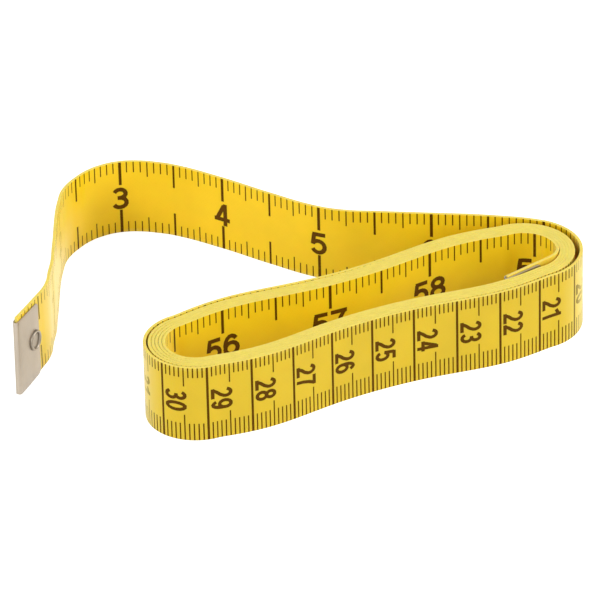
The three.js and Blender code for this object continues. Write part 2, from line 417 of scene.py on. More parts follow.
def half_width(along, waves):
    """Half the loop's width along a side, from 0 at the left end to 1 at the right."""
    width = LEFT_END_RADIUS + (RIGHT_END_RADIUS - LEFT_END_RADIUS) * along
    for count, height in zip(WAVE_COUNTS, waves):
        width += height * math.sin(count * math.pi * along)
    return width


def winding_point(step):
    """A point of the winding, which runs round the right end, along the front, round the left and back."""
    turns = step / TURN_STEPS
    inset = drawn_in(turns)
    left = (LOOP_CENTRE[0] - END_SPACING / 2, LOOP_CENTRE[1])
    right = (LOOP_CENTRE[0] + END_SPACING / 2, LOOP_CENTRE[1])
    rest = step % TURN_STEPS
    if rest <= END_STEPS:
        share = rest / END_STEPS
        closer = RIGHT_TIGHTNESS * turns * math.sin(math.pi * share)
        x, y = polar(right, RIGHT_END_RADIUS - inset + closer, 90.0 - 180.0 * share)
        return (x + TAIL_REACH * math.sqrt(stand_off(turns)), y)
    rest -= END_STEPS
    if rest <= SIDE_STEPS:
        along = 1.0 - rest / SIDE_STEPS
        return (left[0] + END_SPACING * along, LOOP_CENTRE[1] - half_width(along, FRONT_WAVES) + inset)
    rest -= SIDE_STEPS
    if rest <= END_STEPS:
        share = rest / END_STEPS
        looser = LEFT_SLACK * turns * share ** 2 * (1.0 - share)
        return polar(left, LEFT_END_RADIUS - inset - looser, -90.0 - 180.0 * share)
    along = (rest - END_STEPS) / SIDE_STEPS
    return (left[0] + END_SPACING * along, LOOP_CENTRE[1] + half_width(along, REAR_WAVES) - inset)


def route_points():
    """The whole tape's middle line, from the tip of the tail to the inner end."""
    turns = bpy.context.scene.tape.turns
    first = int(END_STEPS * (90.0 - SEAM_ANGLE) / 180.0)
    last = turns * TURN_STEPS + END_STEPS // 2
    winding = [winding_point(step) for step in range(first, last + 1)]
    bend_centre = (LOOP_CENTRE[0] + END_SPACING / 2 + INNER_TUCK, LOOP_CENTRE[1])
    bend_radius = winding[-1][0] - bend_centre[0]
    for step in range(1, INNER_BEND_STEPS + 1):
        winding.append(polar(bend_centre, bend_radius, -(90.0 - INNER_SLOPE) * step / INNER_BEND_STEPS))
    for _ in range(2):
        winding.append(polar(winding[-1], INNER_STRAIGHT / 2, 180.0 + INNER_SLOPE))
    joint = TAIL_JOINT["pos_m"]
    tail = [(joint[0] + x * MM, joint[1] + y * MM) for x, y in TAIL_ROUTE]
    return tail + winding


def make_route():
    """The middle line as a curve that flat pieces are bent along."""
    points = route_points()
    data = bpy.data.curves.new("tape_route", "CURVE")
    data.dimensions = "2D"
    data.resolution_u = ROUTE_RESOLUTION
    data.use_deform_bounds = False
    spline = data.splines.new("BEZIER")
    spline.bezier_points.add(len(points) - 1)
    for knot, (x, y) in zip(spline.bezier_points, points):
        knot.co = (x, y, 0.0)
        knot.handle_left_type = "AUTO"
        knot.handle_right_type = "AUTO"
    route = bpy.data.objects.new("tape_route", data)
    bpy.context.scene.collection.objects.link(route)
    bpy.context.view_layer.update()
    return route


def route_length():
    """The length of the whole tape."""
    route = make_route()
    length = route.data.splines[0].calc_length()
    remove(route)
    return length


def bend_along_route(objects):
    """Bend flat pieces, which lie along X from the tip, onto the tape's route."""
    route = make_route()
    for obj in objects:
        apply_modifier(obj, "CURVE", object=route, deform_axis="POS_X")
    remove(route)


def seam_blend(obj):
    """Apply a piece of the tail's placement to its mesh."""
    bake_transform(obj)


def feed(tree, socket, value):
    """Link an output to a socket, or set the socket's own value."""
    if isinstance(value, bpy.types.NodeSocket):
        tree.links.new(value, socket)
    else:
        socket.default_value = value


def add_node(tree, kind, inputs=None, **settings):
    """Add a node, set its fields, and feed its inputs."""
    node = tree.nodes.new(kind)
    for name, value in settings.items():
        setattr(node, name, value)
    for socket, value in (inputs or {}).items():
        feed(tree, node.inputs[socket], value)
    return node


def new_group(name, inputs, outputs):
    """A shader node group with named inputs and outputs."""
    tree = bpy.data.node_groups.new(name, "ShaderNodeTree")
    for socket, kind, default in inputs:
        made = tree.interface.new_socket(socket, in_out="INPUT", socket_type=kind)
        if default is not None:
            made.default_value = default
    for socket, kind in outputs:
        tree.interface.new_socket(socket, in_out="OUTPUT", socket_type=kind)
    return tree, tree.nodes.new("NodeGroupInput"), tree.nodes.new("NodeGroupOutput")


def math_node(tree, operation, *inputs):
    """A math node's output."""
    return add_node(tree, "ShaderNodeMath", dict(enumerate(inputs)), operation=operation).outputs[0]


def mix_colours(tree, factor, first, second):
    """The mix of two colours."""
    node = add_node(tree, "ShaderNodeMix", data_type="RGBA")
    sockets = {socket.identifier: socket for socket in node.inputs}
    for name, value in (("Factor_Float", factor), ("A_Color", first), ("B_Color", second)):
        feed(tree, sockets[name], value)
    return next(socket for socket in node.outputs if socket.identifier == "Result_Color")


def map_range(tree, value, from_low, from_high, to_low, to_high):
    """A value moved from one range to another, and kept inside it."""
    node = add_node(tree, "ShaderNodeMapRange", {
        "Value": value, "From Min": from_low, "From Max": from_high, "To Min": to_low, "To Max": to_high})
    return node.outputs["Result"]


def cloth_weave_group():
    """Threads crossing under a coating: a height, and a mask of the raised crossings."""
    name = "cloth_weave"
    if name in bpy.data.node_groups:
        return bpy.data.node_groups[name]
    tree, source, sink = new_group(
        name,
        [("Vector", "NodeSocketVector", None), ("Threads", "NodeSocketFloat", 30.0)],
        [("Height", "NodeSocketFloat"), ("Crossings", "NodeSocketFloat")])
    waver = add_node(tree, "ShaderNodeTexNoise", {
        "Vector": source.outputs["Vector"], "Scale": 9.0, "Detail": 2.0})
    drift = math_node(tree, "MULTIPLY", waver.outputs["Fac"], 0.03)
    parts = add_node(tree, "ShaderNodeSeparateXYZ", {"Vector": source.outputs["Vector"]})
    turn = math_node(tree, "MULTIPLY", source.outputs["Threads"], math.pi)
    waves = []
    for axis in ("X", "Y"):
        shifted = math_node(tree, "ADD", parts.outputs[axis], drift)
        waves.append(math_node(tree, "SINE", math_node(tree, "MULTIPLY", shifted, turn)))
    crossing = math_node(tree, "MULTIPLY", waves[0], waves[1])
    height = map_range(tree, crossing, -1.0, 1.0, 0.0, 1.0)
    raised = map_range(tree, crossing, 0.35, 0.9, 0.0, 1.0)
    tree.links.new(height, sink.inputs["Height"])
    tree.links.new(raised, sink.inputs["Crossings"])
    return tree


def mottle_group():
    """Soft uneven patches at two scales."""
    name = "mottle"
    if name in bpy.data.node_groups:
        return bpy.data.node_groups[name]
    tree, source, sink = new_group(
        name,
        [("Vector", "NodeSocketVector", None), ("Scale", "NodeSocketFloat", 1.0)],
        [("Patches", "NodeSocketFloat"), ("Grain", "NodeSocketFloat")])
    broad = add_node(tree, "ShaderNodeTexNoise", {
        "Vector": source.outputs["Vector"], "Scale": source.outputs["Scale"], "Detail": 3.0})
    fine_scale = math_node(tree, "MULTIPLY", source.outputs["Scale"], 24.0)
    fine = add_node(tree, "ShaderNodeTexNoise", {
        "Vector": source.outputs["Vector"], "Scale": fine_scale, "Detail": 4.0, "Roughness": 0.6})
    tree.links.new(map_range(tree, broad.outputs["Fac"], 0.3, 0.7, 0.0, 1.0), sink.inputs["Patches"])
    tree.links.new(map_range(tree, fine.outputs["Fac"], 0.3, 0.7, 0.0, 1.0), sink.inputs["Grain"])
    return tree


def place_group(tree, group, inputs):
    """Place a node group in a material."""
    return add_node(tree, "ShaderNodeGroup", inputs, node_tree=group)


def new_material(name):
    """A material with its node tree, and its Principled shader."""
    material = bpy.data.materials.new(name)
    material.use_nodes = True
    tree = material.node_tree
    return material, tree, tree.nodes["Principled BSDF"]


def shaded(colour, factor):
    """A colour made lighter or darker, with full alpha."""
    return tuple(min(1.0, c * factor) for c in colour) + (1.0,)


def finish_shader(tree, shader, colour, mask, smoothest, roughest):
    """Give a shader its colour, and a roughness that follows a mask."""
    feed(tree, shader.inputs["Base Color"], colour)
    feed(tree, shader.inputs["Roughness"], map_range(tree, mask, 0.0, 1.0, smoothest, roughest))


def add_relief(tree, shader, height, strength, depth):
    """Give a shader fine relief."""
    bump = add_node(tree, "ShaderNodeBump", {"Height": height, "Strength": strength, "Distance": depth})
    feed(tree, shader.inputs["Normal"], bump.outputs["Normal"])


def coat_cloth(shader):
    """Give cloth a low gloss, and let some light spread through it, the warm colours furthest."""
    shader.inputs["Specular IOR Level"].default_value = 0.2
    shader.inputs["Subsurface Weight"].default_value = 0.5
    shader.inputs["Subsurface Radius"].default_value = (1.0, 0.6, 0.15)
    shader.inputs["Subsurface Scale"].default_value = 0.6 * MM


def pale_sheen(tree, low, high, most):
    """How much a painted sheen pales a face's colour where it is seen at a low angle."""
    facing = add_node(tree, "ShaderNodeLayerWeight", {"Blend": 0.5}).outputs["Facing"]
    return map_range(tree, facing, low, high, 0.0, most)


def tape_face_material(name, colour, wear_and_sheen_colour, sheen):
    """Coated woven cloth, uneven in colour, rubbed along both edges, and paled at a low angle by a painted
    sheen.
    """
    if name in bpy.data.materials:
        return bpy.data.materials[name]
    material, tree, shader = new_material(name)
    place = add_node(tree, "ShaderNodeUVMap", uv_map="tape").outputs["UV"]
    weave = place_group(tree, cloth_weave_group(), {"Vector": place, "Threads": 34.0})
    mottle = place_group(tree, mottle_group(), {"Vector": place, "Scale": 1.6})
    colour_now = mix_colours(tree, mottle.outputs["Patches"], shaded(colour, 0.95), shaded(colour, 1.04))
    threads = math_node(tree, "MULTIPLY", weave.outputs["Crossings"], 0.10)
    colour_now = mix_colours(tree, threads, colour_now, shaded(colour, 0.86))
    parts = add_node(tree, "ShaderNodeSeparateXYZ", {"Vector": place})
    off_middle = math_node(tree, "ABSOLUTE", math_node(tree, "SUBTRACT", parts.outputs["Y"], 0.5))
    near_edge = map_range(tree, off_middle, 0.465, 0.5, 0.0, 0.75)
    rubbed = math_node(tree, "MULTIPLY", near_edge, mottle.outputs["Grain"])
    colour_now = mix_colours(tree, rubbed, colour_now, shaded(wear_and_sheen_colour, 1.0))
    # Painted sheen: the colour is paled towards a light cut-edge colour where the face is seen at a low
    # angle
    colour_now = mix_colours(tree, pale_sheen(tree, *sheen), colour_now, shaded(wear_and_sheen_colour, 1.1))
    finish_shader(tree, shader, colour_now, mottle.outputs["Grain"], smoothest=0.27, roughest=0.36)
    coat_cloth(shader)
    add_relief(tree, shader, weave.outputs["Height"], strength=0.12, depth=0.05 * MM)
    return material


def cut_edge_material(colour):
    """The cut side of the cloth: pale fibres with the ends of threads showing as darker flecks."""
    name = "tape_cut_edge"
    if name in bpy.data.materials:
        return bpy.data.materials[name]
    material, tree, shader = new_material(name)
    place = add_node(tree, "ShaderNodeUVMap", uv_map="tape").outputs["UV"]
    mottle = place_group(tree, mottle_group(), {"Vector": place, "Scale": 6.0})
    colour_now = mix_colours(tree, mottle.outputs["Patches"], shaded(colour, 0.93), shaded(colour, 1.05))
    threads = add_node(tree, "ShaderNodeTexVoronoi", {"Vector": place, "Scale": 40.0})
    fleck = map_range(tree, threads.outputs["Distance"], 0.05, 0.28, 0.5, 0.0)
    fleck = math_node(tree, "MULTIPLY", fleck, mottle.outputs["Grain"])
    colour_now = mix_colours(tree, fleck, colour_now, shaded(colour, 0.55))
    finish_shader(tree, shader, colour_now, mottle.outputs["Grain"], smoothest=0.6, roughest=0.8)
    coat_cloth(shader)
    add_relief(tree, shader, mottle.outputs["Grain"], strength=0.3, depth=0.05 * MM)
    return material


def ink_material(colour, pale):
    """Printing ink, a little uneven in density, paled by a painted sheen where it is seen at a low angle."""
    name = "scale_ink"
    if name in bpy.data.materials:
        return bpy.data.materials[name]
    material, tree, shader = new_material(name)
    place = add_node(tree, "ShaderNodeTexCoord").outputs["Object"]
    mottle = place_group(tree, mottle_group(), {"Vector": place, "Scale": 120.0})
    colour_now = mix_colours(tree, mottle.outputs["Grain"], shaded(colour, 0.8), shaded(colour, 1.3))
    # Painted sheen: the ink is paled towards the cut edge's colour where it is seen at a low angle
    colour_now = mix_colours(tree, pale_sheen(tree, *INK_SHEEN), colour_now, shaded(pale, 1.0))
    finish_shader(tree, shader, colour_now, mottle.outputs["Patches"], smoothest=0.28, roughest=0.38)
    shader.inputs["Specular IOR Level"].default_value = 0.05
    return material


def plated_metal_material(name, colour, shade):
    """Dull plated sheet metal with fine upright rubbing marks and patches of wear, and painted shade in
    patches where a rivet's mesh marks it.
    """
    if name in bpy.data.materials:
        return bpy.data.materials[name]
    material, tree, shader = new_material(name)
    place = add_node(tree, "ShaderNodeTexCoord").outputs["Object"]
    mottle = place_group(tree, mottle_group(), {"Vector": place, "Scale": 160.0})
    drawn = add_node(tree, "ShaderNodeMapping", {"Vector": place, "Scale": (1.0, 1.0, 0.06)})
    marks = place_group(tree, mottle_group(), {"Vector": drawn.outputs["Vector"], "Scale": 260.0})
    colour_now = mix_colours(
        tree, mottle.outputs["Patches"], shaded(colour, 0.92 * shade), shaded(colour, 1.06 * shade))
    scuffed = math_node(tree, "MULTIPLY", marks.outputs["Grain"], 0.25)
    colour_now = mix_colours(tree, scuffed, colour_now, shaded(colour, 1.25 * shade))
    # Painted shade: the foot and walls of a rivet's head and of its hollow are darkened, broken up in
    # patches
    ringed = add_node(tree, "ShaderNodeAttribute", attribute_name="painted_shade").outputs["Fac"]
    broken = map_range(tree, mottle.outputs["Patches"], 0.2, 0.8, 0.2, 1.0)
    painted_shade = math_node(tree, "MULTIPLY", ringed, broken)
    colour_now = mix_colours(tree, painted_shade, colour_now, shaded(colour, 0.22))
    finish_shader(tree, shader, colour_now, marks.outputs["Patches"], smoothest=0.36, roughest=0.5)
    shader.inputs["Metallic"].default_value = 1.0
    add_relief(tree, shader, marks.outputs["Grain"], strength=0.08, depth=0.03 * MM)
    return material


def flat_tape(name, start, end):
    """A flat length of tape: one short stretch, repeated and closed at both ends."""
    tape = bpy.context.scene.tape
    half = tape.thickness / 2
    count = round((end - start) / TAPE_STEP)
    step = (end - start) / count
    piece = add_box(name, (start, -half, 0.0), (start + step, half, tape.width))
    with editing(piece):
        pick(piece, "FACE", lambda face: abs(face.normal.x) > FACING)
        bpy.ops.mesh.delete(type="ONLY_FACE")
        pick(piece, "EDGE", lambda edge: abs(edge.verts[0].co.x - edge.verts[1].co.x) > step / 2)
        bpy.ops.mesh.bevel(offset=EDGE_ROUNDING, segments=1, affect="EDGES")
    repeat_along(piece, count, step, use_merge_vertices=True, merge_threshold=MERGED)
    with editing(piece):
        pick(piece, "EDGE", lambda edge: edge.is_boundary)
        bpy.ops.mesh.fill_holes(sides=0)
    for material in (
            tape_face_material("tape_inch_face", tape.inch_face, tape.cut_edge, INCH_SHEEN),
            tape_face_material("tape_cm_face", tape.cm_face, tape.cut_edge, CM_SHEEN),
            cut_edge_material(tape.cut_edge)):
        piece.data.materials.append(material)
    for face in piece.data.polygons:
        if face.normal.y < -FACING:
            face.material_index = 0
        elif face.normal.y > FACING:
            face.material_index = 1
        else:
            face.material_index = 2
    layers = piece.data.uv_layers
    for old in [layer.name for layer in layers]:
        layers.remove(layers[old])
    layer = layers.new(name="tape")
    for loop in piece.data.loops:
        place = piece.data.vertices[loop.vertex_index].co
        layer.data[loop.index].uv = (place.x / tape.width, (place.z + place.y) / tape.width)
    return piece


class TAPE_OT_tape(bpy.types.Operator):
    """Make the tape of the loop and of the tail"""

    bl_idname = "tape_measure.tape"
    bl_label = "Tape"

    def execute(self, context):
        length = route_length()
        split = TAIL_READING - context.scene.scales.tip_reading
        tail = flat_tape("tail_tape", 0.0, split)
        slant_end(tail, reach=TAPE_STEP / 2)
        lean_end(tail)
        coil = flat_tape("coil_tape", split, length)
        lift_inner_end(coil)
        bend_along_route([tail, coil])
        for piece in (tail, coil):
            smooth(piece)
        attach(coil, "wound_loop")
        seam_blend(tail)
        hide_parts("tape_coil")
        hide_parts("tape_tail")
        return {"FINISHED"}


def ink_box(side, place, width, low, high):
    """A flat bar of ink on one face of the tape, from one height to another."""
    half = bpy.context.scene.tape.thickness / 2
    depths = sorted((side * (half - INK_SINK), side * (half + bpy.context.scene.scales.ink_proud)))
    return add_box("mark", (place - width / 2, depths[0], low), (place + width / 2, depths[1], high))


def edge_marks(side, place, upper, lower):
    """A mark on the upper edge and one on the lower, each by its length and width."""
    top = bpy.context.scene.tape.width
    return [
        ink_box(side, place, upper[1], top - upper[0], top - EDGE_MARGIN),
        ink_box(side, place, lower[1], EDGE_MARGIN, lower[0]),
    ]


def ellipse(centre, radii, angles):
    """Points of an ellipse at some angles."""
    return [
        (centre[0] + radii[0] * math.cos(angle), centre[1] + radii[1] * math.sin(angle))
        for angle in angles
    ]


def arc(centre, radii, first, last):
    """Points along an ellipse between two angles."""
    steps = max(2, round(abs(last - first) / ARC_STEP))
    angles = [math.radians(first + (last - first) * step / steps) for step in range(steps + 1)]
    return ellipse(centre, radii, angles)


def ring(centre, radii):
    """Points round an ellipse."""
    return ellipse(centre, radii, [math.tau * step / RING_POINTS for step in range(RING_POINTS)])


def between(low, high, reach, middle):
    """The centre and radii of a bowl between two heights."""
    return (middle, (low + high) / 2), (reach, (high - low) / 2)


def digit_strokes(digit, width, stroke):
    """The middle lines of a digit's strokes, 1 high, each with whether it closes on itself."""
    low = stroke / 2
    high = 1.0 - stroke / 2
    middle = width / 2
    reach = (width - stroke) / 2
    waist = 0.525
    if digit == "0":
        return [(ring(*between(low, high, reach, middle)), True)]
    if digit == "1":
        stem = middle + 0.12 * width
        return [([(stem, 0.0), (stem, 1.0)], False), ([(0.10 * width, 0.74), (stem, 0.88)], False)]
    if digit == "2":
        bowl = arc(*between(0.45, high, reach, middle), 165.0, -20.0)
        foot = (0.55 * stroke, 0.55 * stroke)
        neck = bowl + [(middle + 0.45 * reach, 0.43), (middle - 0.35 * reach, 0.27), foot]
        return [(neck, False), ([(0.0, low), (width, low)], False)]
    if digit == "3":
        bar = (middle - 0.14 * width, waist)
        upper = arc(*between(waist, high, 0.9 * reach, middle), 160.0, -90.0) + [bar]
        lower = [bar] + arc(*between(low, waist, reach, middle), 90.0, -160.0)
        return [(upper, False), (lower, False)]
    if digit == "4":
        stem = 0.70 * width
        return [
            ([(stem, 0.0), (stem, 1.0)], False),
            ([(0.0, 0.28), (width, 0.28)], False),
            ([(0.15 * width, 0.26), (0.62 * width, 0.92)], False),
        ]
    if digit == "5":
        bowl = arc(*between(low, 0.62, reach, middle), 150.0, -155.0)
        return [
            (bowl, False),
            ([(0.16 * width, high), (0.92 * width, high)], False),
            ([(0.26 * width, high), (0.17 * width, 0.44)], False),
        ]
    if digit == "6":
        bowl = ring(*between(low, 0.61, reach, middle))
        return [(bowl, True), (arc(*between(low, high, reach, middle), 40.0, 200.0), False)]
    if digit == "7":
        leg = [(0.86 * width, 0.94), (0.60 * width, 0.64), (0.45 * width, 0.34), (0.38 * width, 0.0)]
        return [([(0.02 * width, high), (0.98 * width, high)], False), (leg, False)]
    if digit == "8":
        upper = ring(*between(waist, high, 0.88 * reach, middle))
        return [(ring(*between(low, waist, reach, middle)), True), (upper, True)]
    turned = digit_strokes("6", width, stroke)
    return [([(width - x, 1.0 - y) for x, y in line], closed) for line, closed in turned]


def stroke_solid(line, closed, height, thickness, low, high):
    """One stroke of a digit as a solid bar along its middle line."""
    data = bpy.data.curves.new("stroke", "CURVE")
    data.dimensions = "3D"
    data.extrude = (high - low) / 2
    spline = data.splines.new("POLY")
    spline.points.add(len(line) - 1)
    for point, (x, y) in zip(spline.points, line):
        point.co = (x * height, y * height, (low + high) / 2, 1.0)
    spline.use_cyclic_u = closed
    stroke = bpy.data.objects.new("stroke", data)
    bpy.context.scene.collection.objects.link(stroke)
    make_active(stroke)
    bpy.ops.object.convert(target="MESH")
    stroke = bpy.context.active_object
    apply_modifier(stroke, "SOLIDIFY", thickness=thickness, offset=0.0, use_even_offset=True)
    return stroke


def slice_across(axis, reach, step):
    """In edit mode, cut a piece at even steps along an axis, so that it can follow a bend."""
    for cut in range(1, math.ceil(reach / step)):
        bpy.ops.mesh.select_all(action="SELECT")
        bpy.ops.mesh.bisect(plane_co=axis * cut * step, plane_no=axis)


def make_digit(digit, height, width, stroke, across):
    """A digit as one solid, cut across so that it can follow a bend, with its slices square to an axis."""
    proud = bpy.context.scene.scales.ink_proud
    strokes = [
        stroke_solid(line, closed, height, stroke * height, -INK_SINK, proud)
        for line, closed in digit_strokes(digit, width, stroke)
    ]
    solid = strokes[0]
    for other in strokes[1:]:
        apply_modifier(solid, "BOOLEAN", object=other, operation="UNION", solver="EXACT")
        remove(other)
    with editing(solid):
        slice_across(across, height if across.y else height * width, DIGIT_SLICE)
        face_outwards()
    return solid


def place_digit(solid, axes, place):
    """A copy of a digit with its own mesh, turned and set in place."""
    copy = bpy.data.objects.new("digit", solid.data.copy())
    matrix = Matrix(axes).transposed().to_4x4()
    matrix.translation = place
    copy.data.transform(matrix)
    bpy.context.scene.collection.objects.link(copy)
    return copy


def print_numbers(last, spacing, height, form, axes, across, start):
    """The numbers of a scale, centred a spacing apart from a start on, and turned to the given axes."""
    width, stroke, pitch = form
    digits = {digit: make_digit(digit, height, width, stroke, across) for digit in "0123456789"}
    numbers = []
    for number in range(1, last + 1):
        text = str(number)
        breadth = ((len(text) - 1) * pitch + width) * height
        middle = (start[0] + number * spacing, start[1], start[2])
        for index, digit in enumerate(text):
            along = index * pitch * height - breadth / 2
            place = [at + along * way for at, way in zip(middle, axes[0])]
            numbers.append(place_digit(digits[digit], axes, place))
    for solid in digits.values():
        remove(solid)
    return numbers


def split_scale(row, name):
    """Trim a flat scale at both clips, but for its upper marks, and part it where the tail's tape ends."""
    scene = bpy.context.scene
    length = route_length()
    covered = scene.clips.length - CLIP_OVERLAP
    upper = scene.tape.width - UPPER_STRIP
    split = TAIL_READING - scene.scales.tip_reading
    with editing(row):
        pick(row, "VERT", lambda vert: not END_MARGIN < vert.co.x < length - END_MARGIN or (
            vert.co.z < upper and not covered < vert.co.x < length - covered))
        bpy.ops.mesh.select_linked()
        bpy.ops.mesh.delete(type="VERT")
        pick(row, "VERT", lambda vert: vert.co.x < split)
        bpy.ops.mesh.separate(type="SELECTED")
    tail = next(obj for obj in bpy.context.selected_objects if obj != row)
    tail.name = "tail_" + name
    row.name = "coil_" + name
    lean_end(tail)
    lift_inner_end(row)
    bend_along_route([tail, row])
    for piece in (tail, row):
        piece.data.materials.append(ink_material(scene.scales.ink, scene.tape.cut_edge))
        smooth(piece)
    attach(row, "wound_loop")
    seam_blend(tail)


class TAPE_OT_inch_scale(bpy.types.Operator):
    """Print the inch scale, with upright numbers between its marks"""

    bl_idname = "tape_measure.inch_scale"
    bl_label = "Inch Scale"

    def execute(self, context):
        tape, scales = context.scene.tape, context.scene.scales
        start = -scales.tip_reading
        marks = []
        for sixteenth in range(1, 17):
            size = SIXTEENTH_MARK
            if sixteenth == 16:
                size = INCH_MARK
            elif sixteenth == 8:
                size = HALF_INCH_MARK
            elif sixteenth % 4 == 0:
                size = QUARTER_INCH_MARK
            marks += edge_marks(INCH_SIDE, start + INCH * sixteenth / 16, size, size)
        rows = [join("marks", marks)]
        repeat_along(rows[0], LAST_INCH + 1, INCH)
        height = scales.inch_digits
        aside, below = INCH_DIGIT_SHIFT
        rows += print_numbers(
            LAST_INCH, INCH, height, INCH_DIGIT,
            axes=((1.0, 0.0, 0.0), (0.0, 0.0, 1.0), (0.0, -1.0, 0.0)), across=Vector((1.0, 0.0, 0.0)),
            start=(start - aside, INCH_SIDE * tape.thickness / 2, (tape.width - height) / 2 - below))
        split_scale(join("inch_scale", rows), "inch_scale")
        return {"FINISHED"}


class TAPE_OT_cm_scale(bpy.types.Operator):
    """Print the centimetre scale, with numbers turned along the tape beside their lines"""

    bl_idname = "tape_measure.cm_scale"
    bl_label = "Centimetre Scale"

    def execute(self, context):
        tape, scales = context.scene.tape, context.scene.scales
        start = -scales.tip_reading
        marks = [ink_box(CM_SIDE, start + CM, CM_LINE_WIDTH, EDGE_MARGIN, tape.width - EDGE_MARGIN)]
        for tenth in range(1, 10):
            upper, lower = UPPER_MM_MARK, LOWER_MM_MARK
            if tenth == 5:
                upper, lower = UPPER_FIVE_MARK, LOWER_FIVE_MARK
            marks += edge_marks(CM_SIDE, start + CM * tenth / 10, upper, lower)
        rows = [join("marks", marks)]
        repeat_along(rows[0], LAST_CM, CM)
        aside, above = CM_DIGIT_SHIFT
        rows += print_numbers(
            LAST_CM, CM, scales.cm_digits, CM_DIGIT,
            axes=((0.0, 0.0, -1.0), (-1.0, 0.0, 0.0), (0.0, 1.0, 0.0)), across=Vector((0.0, 1.0, 0.0)),
            start=(start - aside, CM_SIDE * tape.thickness / 2, tape.width / 2 + above))
        split_scale(join("cm_scale", rows), "cm_scale")
        return {"FINISHED"}


def clip_offset():
    """From the tape's middle to the middle of a clip's sheet metal."""
    tape, clips = bpy.context.scene.tape, bpy.context.scene.clips
    return tape.thickness / 2 + clips.fit + clips.sheet / 2


def folded_clip(name, tip, inward):
    """Sheet metal folded over an end of the flat tape, with rounded corners and a hole for its rivet."""
    tape, clips = bpy.context.scene.tape, bpy.context.scene.clips
    offset = clip_offset()
    bottom, top = clips.bottom_margin, tape.width - clips.top_margin
    bpy.ops.object.select_all(action="DESELECT")
    bpy.ops.mesh.primitive_plane_add(
        size=1.0, location=(clips.length / 2, -offset, (bottom + top) / 2), rotation=(math.pi / 2, 0.0, 0.0))
    clip = bpy.context.active_object
    clip.name = name
    clip.scale = (clips.length, top - bottom, 1.0)
    bpy.ops.object.transform_apply(location=True, rotation=True, scale=True)
    with editing(clip):
        pick(clip, "EDGE", lambda edge: max(vert.co.x for vert in edge.verts) < NEAR)
        bpy.ops.mesh.spin(steps=FOLD_STEPS, angle=math.pi, center=(0.0, 0.0, 0.0), axis=(0.0, 0.0, 1.0))
        pick(clip, "EDGE", lambda edge: edge.is_boundary and all(
            abs(vert.co.x) < NEAR and vert.co.y > 0.0 for vert in edge.verts))
        bpy.ops.mesh.extrude_edges_move(TRANSFORM_OT_translate={"value": (clips.length, 0.0, 0.0)})
        for share in FOLD_BANDS:
            for low, way in ((True, 1.0), (False, -1.0)):
                pick(clip, "VERT", lambda vert: (
                    vert.co.x < -share * offset and (vert.co.z < tape.width / 2) == low))
                bpy.ops.transform.translate(value=(0.0, 0.0, way * FOLD_ROUNDING))
        pick(clip, "VERT", lambda vert: vert.co.x > clips.length - NEAR)
        bpy.ops.mesh.bevel(offset=clips.corner, segments=CORNER_STEPS, affect="VERTICES")
        bpy.ops.mesh.select_all(action="SELECT")
        bpy.ops.mesh.remove_doubles(threshold=MERGED)
        face_outwards()
    apply_modifier(clip, "SOLIDIFY", thickness=clips.sheet, offset=0.0, use_even_offset=True)
    apply_modifier(
        clip, "BEVEL", width=SHEET_ROUNDING, segments=2, limit_method="ANGLE",
        angle_limit=math.radians(SHARP_ANGLE))
    bpy.ops.object.select_all(action="DESELECT")
    bpy.ops.mesh.primitive_cylinder_add(
        vertices=RIVET_STEPS, radius=clips.shank / 2 + clips.fit, depth=DRILL_DEPTH,
        location=(clips.length - clips.setback, 0.0, tape.width / 2), rotation=(math.pi / 2, 0.0, 0.0))
    drill = bpy.context.active_object
    apply_modifier(clip, "BOOLEAN", object=drill, operation="DIFFERENCE", solver="EXACT")
    remove(drill)
    with editing(clip):
        slice_across(Vector((1.0, 0.0, 0.0)), clips.length, CLIP_SLICE)
        slice_across(Vector((0.0, 0.0, 1.0)), tape.width, CLIP_SLICE)
    set_at_end(clip, tip, inward)
    return clip


def slant_end(obj, reach):
    """Draw the lower part of the flat tail's end outwards, as far as a reach from the tip."""
    tape, clips = bpy.context.scene.tape, bpy.context.scene.clips
    for vert in obj.data.vertices:
        if vert.co.x < reach:
            along = max(0.0, vert.co.x / clips.length)
            slant = FOLD_SLANT + (INNER_EDGE_SLANT - FOLD_SLANT) * along
            vert.co.x -= slant * (1.0 - vert.co.z / tape.width)


def lean_end(obj):
    """Lean the flat tail back towards its tip."""
    width = bpy.context.scene.tape.width
    for vert in obj.data.vertices:
        share = min(1.0, max(0.0, 1.0 - vert.co.x / LEAN_REACH))
        height = vert.co.z / width
        vert.co.y += share * (height * LEAN_ABOVE - (1.0 - height) * LEAN_BELOW)


def lift_inner_end(obj):
    """Raise the inner end of the flat tape, or of a piece on it."""
    length = route_length()
    for vert in obj.data.vertices:
        left = length - vert.co.x
        share = min(1.0, max(0.0, (INNER_LIFT_START - left) / (INNER_LIFT_START - INNER_LIFT_END)))
        droop = INNER_DROOP * max(0.0, 1.0 - left / INNER_LIFT_END)
        vert.co.z += INNER_LIFT * share ** 2 * (3.0 - 2.0 * share) - droop


def set_at_end(obj, tip, inward):
    """Move a piece that was made at the tip of the flat tape to either end of it."""
    matrix = Matrix.Translation((tip, 0.0, 0.0))
    if inward < 0.0:
        matrix = matrix @ Matrix.Rotation(math.pi, 4, "Z")
    obj.data.transform(matrix)
    obj.data.update()


def raise_inner_clip(obj):
    """Set the inner end's clip, or its rivet, higher on the tape, and raise it with the tape."""
    obj.data.transform(Matrix.Translation((0.0, 0.0, INNER_CLIP_RISE)))
    lift_inner_end(obj)


def fasten(tail, inner, metal, nodes, degrees=SMOOTH_ANGLE):
    """Bend both ends' clips or rivets with the tape, finish them, and let them replace their CAD nodes."""
    lean_end(tail)
    raise_inner_clip(inner)
    bend_along_route([tail, inner])
    for piece, body, node in zip((tail, inner), ("free_tail", "wound_loop"), nodes):
        piece.data.materials.append(metal)
        smooth(piece, degrees)
        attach(piece, body)
        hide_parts(node)


